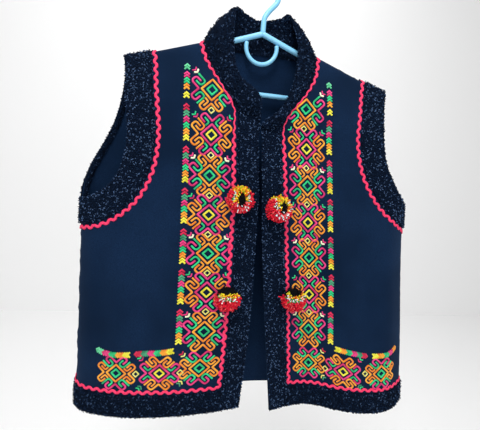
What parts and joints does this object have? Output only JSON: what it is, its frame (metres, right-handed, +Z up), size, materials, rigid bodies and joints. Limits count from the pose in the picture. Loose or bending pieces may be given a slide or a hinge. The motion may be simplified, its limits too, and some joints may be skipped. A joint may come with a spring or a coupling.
{
  "type": "embroidered folk vest on a tube hanger",
  "caption": "Sleeveless felt folk vest with a curly pile collar and borders, embroidered front strips and pom-poms, hanging open on a plastic tube hanger.",
  "frame": {"origin": "inside top of the hanger's hook, where the object hangs", "axes": "+Z up, +X toward the wearer's left, which is the right of a front view, -Y the front of the vest"},
  "size_m": [0.5615, 0.1043, 0.6674],
  "materials": {
    "felt": "matt navy felt",
    "pile": "curly charcoal navy pile",
    "rickrack": "coral pink woven rick-rack",
    "yarn": "cut yarn in bands of colour",
    "tube": "light blue plastic"
  },
  "bodies": {
    "root": {"back": "felt", "front_left": "felt", "front_right": "felt", "collar": "pile", "front_band_left": "pile", "front_band_right": "pile", "hem_band_left": "pile", "hem_band_right": "pile", "hem_band_back": "pile", "armhole_band_front_left": "pile", "armhole_band_front_right": "pile", "armhole_band_back_left": "pile", "armhole_band_back_right": "pile", "rickrack_front_left": "rickrack", "rickrack_front_right": "rickrack", "rickrack_back_neck": "rickrack", "rickrack_back_hem": "rickrack", "rickrack_armhole_front_left": "rickrack", "rickrack_armhole_front_right": "rickrack", "rickrack_armhole_back_left": "rickrack", "rickrack_armhole_back_right": "rickrack", "pompom_upper_left": "yarn", "pompom_upper_right": "yarn", "pompom_lower_left": "yarn", "pompom_lower_right": "yarn", "hanger_hook": "tube", "hanger_arm_left": "tube", "hanger_arm_right": "tube", "hanger_bar": "tube", "hanger_ring": "tube"}
  },
  "joints": []
}
